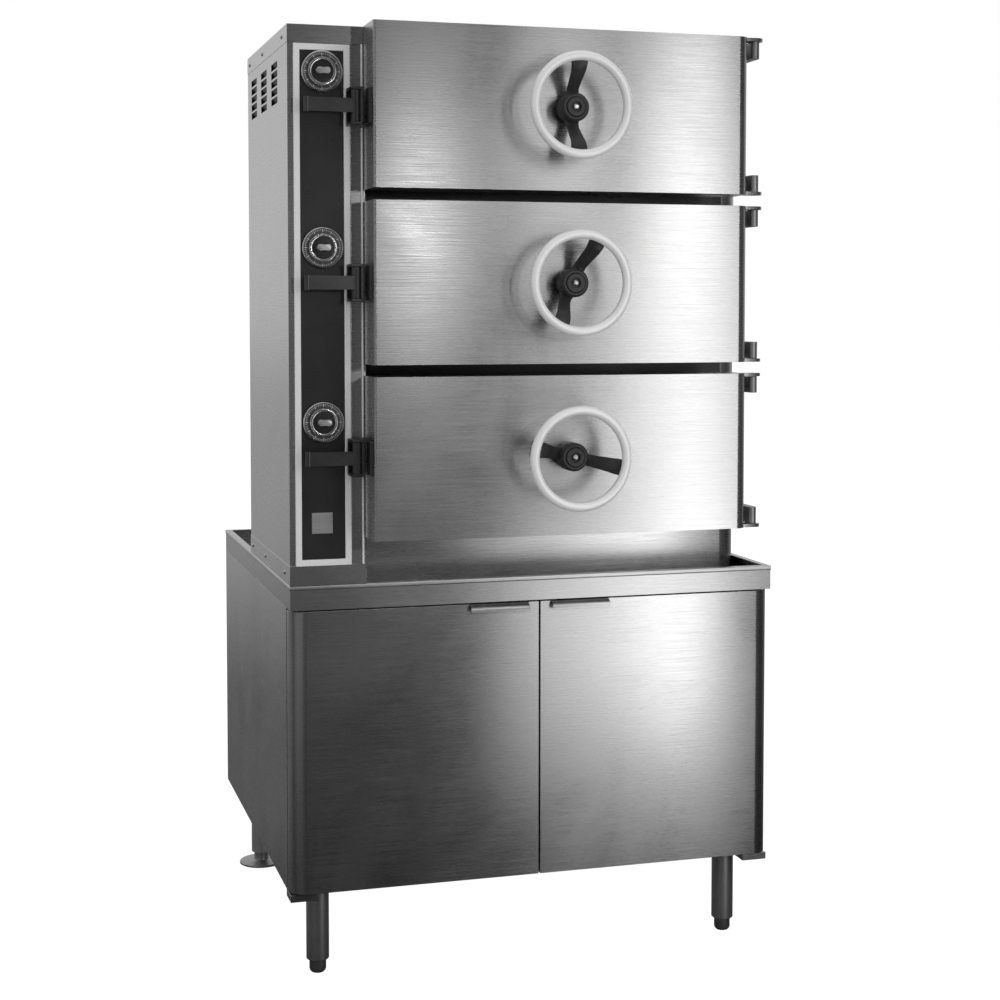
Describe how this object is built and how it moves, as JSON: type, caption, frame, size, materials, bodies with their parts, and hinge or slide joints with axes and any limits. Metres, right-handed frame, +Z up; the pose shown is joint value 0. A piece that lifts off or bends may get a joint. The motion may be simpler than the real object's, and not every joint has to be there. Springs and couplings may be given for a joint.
{
  "type": "pressure steamer",
  "caption": "Tall stainless catering steamer: stacked pressure compartments with handwheel doors, timers and latches on a control column, over a boiler cabinet on legs",
  "frame": {"origin": "on the floor, at the centre of the footprint from the handwheels' front to the back", "axes": "+Z up, +X to the right seen from the front, -Y toward the operator"},
  "size_m": [0.914, 1.0092, 1.692],
  "materials": {
    "brushed_stainless": "brushed sheet, satin",
    "plain_steel": "mill finish",
    "grey_steel": "turned or forged, dull",
    "black_hardware": "blackened casting",
    "black_casting": "black painted casting, slightly glossy",
    "bright_plating": "bright plated",
    "bright_knob": "bright turned",
    "dial_metal": "satin, graduated",
    "black_enamel": "semi-gloss black enamel",
    "seal_rubber": "moulded, matt"
  },
  "bodies": {
    "body": {"base_cabinet": "brushed_stainless", "drip_tray": "brushed_stainless", "leg_front_left": "brushed_stainless", "leg_front_right": "brushed_stainless", "leg_rear_left": "brushed_stainless", "leg_rear_right": "brushed_stainless", "body_casing": "brushed_stainless", "control_column": "brushed_stainless", "control_panel": "black_enamel", "panel_frame": "bright_plating", "boiler": "grey_steel", "steam_riser": "grey_steel", "compartment_top": "plain_steel", "pan_rack_top": "plain_steel", "hinge_bracket_top": "brushed_stainless", "latch_bracket_top": "black_hardware", "timer_dial_top": "dial_metal", "compartment_middle": "plain_steel", "pan_rack_middle": "plain_steel", "hinge_bracket_middle": "brushed_stainless", "latch_bracket_middle": "black_hardware", "timer_dial_middle": "dial_metal", "compartment_bottom": "plain_steel", "pan_rack_bottom": "plain_steel", "hinge_bracket_bottom": "brushed_stainless", "latch_bracket_bottom": "black_hardware", "timer_dial_bottom": "dial_metal"},
    "door_top": {"door_casing_top": "brushed_stainless", "cross_arm_top": "grey_steel"},
    "inner_door_top": {"inner_door_top": "brushed_stainless", "gasket_top": "seal_rubber"},
    "wheel_top": {"wheel_screw_top": "grey_steel", "wheel_spider_top": "black_casting", "wheel_rim_top": "bright_plating"},
    "latch_top": {"latch_arm_top": "brushed_stainless"},
    "timer_top": {"timer_knob_top": "bright_knob"},
    "door_middle": {"door_casing_middle": "brushed_stainless", "cross_arm_middle": "grey_steel"},
    "inner_door_middle": {"inner_door_middle": "brushed_stainless", "gasket_middle": "seal_rubber"},
    "wheel_middle": {"wheel_screw_middle": "grey_steel", "wheel_spider_middle": "black_casting", "wheel_rim_middle": "bright_plating"},
    "latch_middle": {"latch_arm_middle": "brushed_stainless"},
    "timer_middle": {"timer_knob_middle": "bright_knob"},
    "door_bottom": {"door_casing_bottom": "brushed_stainless", "cross_arm_bottom": "grey_steel"},
    "inner_door_bottom": {"inner_door_bottom": "brushed_stainless", "gasket_bottom": "seal_rubber"},
    "wheel_bottom": {"wheel_screw_bottom": "grey_steel", "wheel_spider_bottom": "black_casting", "wheel_rim_bottom": "bright_plating"},
    "latch_bottom": {"latch_arm_bottom": "brushed_stainless"},
    "timer_bottom": {"timer_knob_bottom": "bright_knob"},
    "base_door_left": {"base_door_left": "brushed_stainless"},
    "base_door_right": {"base_door_right": "brushed_stainless"},
    "foot_front_left": {"foot_front_left": "grey_steel"},
    "foot_front_right": {"foot_front_right": "grey_steel"},
    "foot_rear_left": {"foot_rear_left": "grey_steel"},
    "foot_rear_right": {"foot_rear_right": "grey_steel"}
  },
  "joints": [
    {"name": "door_top_hinge", "type": "hinge", "parent": "body", "child": "door_top", "pos_m": [0.39, -0.39337, 1.5505], "axis": [0, 0, 1], "range_deg": [0, 120]},
    {"name": "inner_door_top_travel", "type": "slide", "parent": "door_top", "child": "inner_door_top", "axis": [0, -1, 0], "range_m": [0, 0.0096]},
    {"name": "wheel_top_spin", "type": "hinge", "parent": "inner_door_top", "child": "wheel_top", "pos_m": [0.023, -0.43338, 1.5505], "axis": [0, -1, 0], "range_deg": [0, 540]},
    {"name": "latch_top_pivot", "type": "hinge", "parent": "body", "child": "latch_top", "pos_m": [-0.3455, -0.37438, 1.5505], "axis": [0, 0, 1], "range_deg": [0, 75]},
    {"name": "timer_top_turn", "type": "hinge", "parent": "body", "child": "timer_top", "pos_m": [-0.3975, -0.34337, 1.6115], "axis": [0, 1, 0], "range_deg": [0, 300]},
    {"name": "door_middle_hinge", "type": "hinge", "parent": "body", "child": "door_middle", "pos_m": [0.39, -0.39337, 1.247], "axis": [0, 0, 1], "range_deg": [0, 120]},
    {"name": "inner_door_middle_travel", "type": "slide", "parent": "door_middle", "child": "inner_door_middle", "axis": [0, -1, 0], "range_m": [0, 0.0096]},
    {"name": "wheel_middle_spin", "type": "hinge", "parent": "inner_door_middle", "child": "wheel_middle", "pos_m": [0.023, -0.43338, 1.247], "axis": [0, -1, 0], "range_deg": [0, 540]},
    {"name": "latch_middle_pivot", "type": "hinge", "parent": "body", "child": "latch_middle", "pos_m": [-0.3455, -0.37438, 1.247], "axis": [0, 0, 1], "range_deg": [0, 75]},
    {"name": "timer_middle_turn", "type": "hinge", "parent": "body", "child": "timer_middle", "pos_m": [-0.3975, -0.34337, 1.308], "axis": [0, 1, 0], "range_deg": [0, 300]},
    {"name": "door_bottom_hinge", "type": "hinge", "parent": "body", "child": "door_bottom", "pos_m": [0.39, -0.39337, 0.9435], "axis": [0, 0, 1], "range_deg": [0, 120]},
    {"name": "inner_door_bottom_travel", "type": "slide", "parent": "door_bottom", "child": "inner_door_bottom", "axis": [0, -1, 0], "range_m": [0, 0.0096]},
    {"name": "wheel_bottom_spin", "type": "hinge", "parent": "inner_door_bottom", "child": "wheel_bottom", "pos_m": [0.023, -0.43338, 0.9435], "axis": [0, -1, 0], "range_deg": [0, 540]},
    {"name": "latch_bottom_pivot", "type": "hinge", "parent": "body", "child": "latch_bottom", "pos_m": [-0.3455, -0.37438, 0.9435], "axis": [0, 0, 1], "range_deg": [0, 75]},
    {"name": "timer_bottom_turn", "type": "hinge", "parent": "body", "child": "timer_bottom", "pos_m": [-0.3975, -0.34337, 1.0045], "axis": [0, 1, 0], "range_deg": [0, 300]},
    {"name": "base_door_left_hinge", "type": "hinge", "parent": "body", "child": "base_door_left", "pos_m": [-0.427, -0.30338, 0.42], "axis": [0, 0, -1], "range_deg": [0, 110]},
    {"name": "base_door_right_hinge", "type": "hinge", "parent": "body", "child": "base_door_right", "pos_m": [0.427, -0.30338, 0.42], "axis": [0, 0, 1], "range_deg": [0, 110]},
    {"name": "foot_front_left_screw", "type": "slide", "parent": "body", "child": "foot_front_left", "axis": [0, 0, -1], "range_m": [0, 0.02]},
    {"name": "foot_front_right_screw", "type": "slide", "parent": "body", "child": "foot_front_right", "axis": [0, 0, -1], "range_m": [0, 0.02]},
    {"name": "foot_rear_left_screw", "type": "slide", "parent": "body", "child": "foot_rear_left", "axis": [0, 0, -1], "range_m": [0, 0.02]},
    {"name": "foot_rear_right_screw", "type": "slide", "parent": "body", "child": "foot_rear_right", "axis": [0, 0, -1], "range_m": [0, 0.02]}
  ],
  "couplings": [
    {"joint": "inner_door_top_travel", "follows": "wheel_top_spin", "m_per_rad": 0.0010106},
    {"joint": "inner_door_middle_travel", "follows": "wheel_middle_spin", "m_per_rad": 0.0010106},
    {"joint": "inner_door_bottom_travel", "follows": "wheel_bottom_spin", "m_per_rad": 0.0010106}
  ]
}
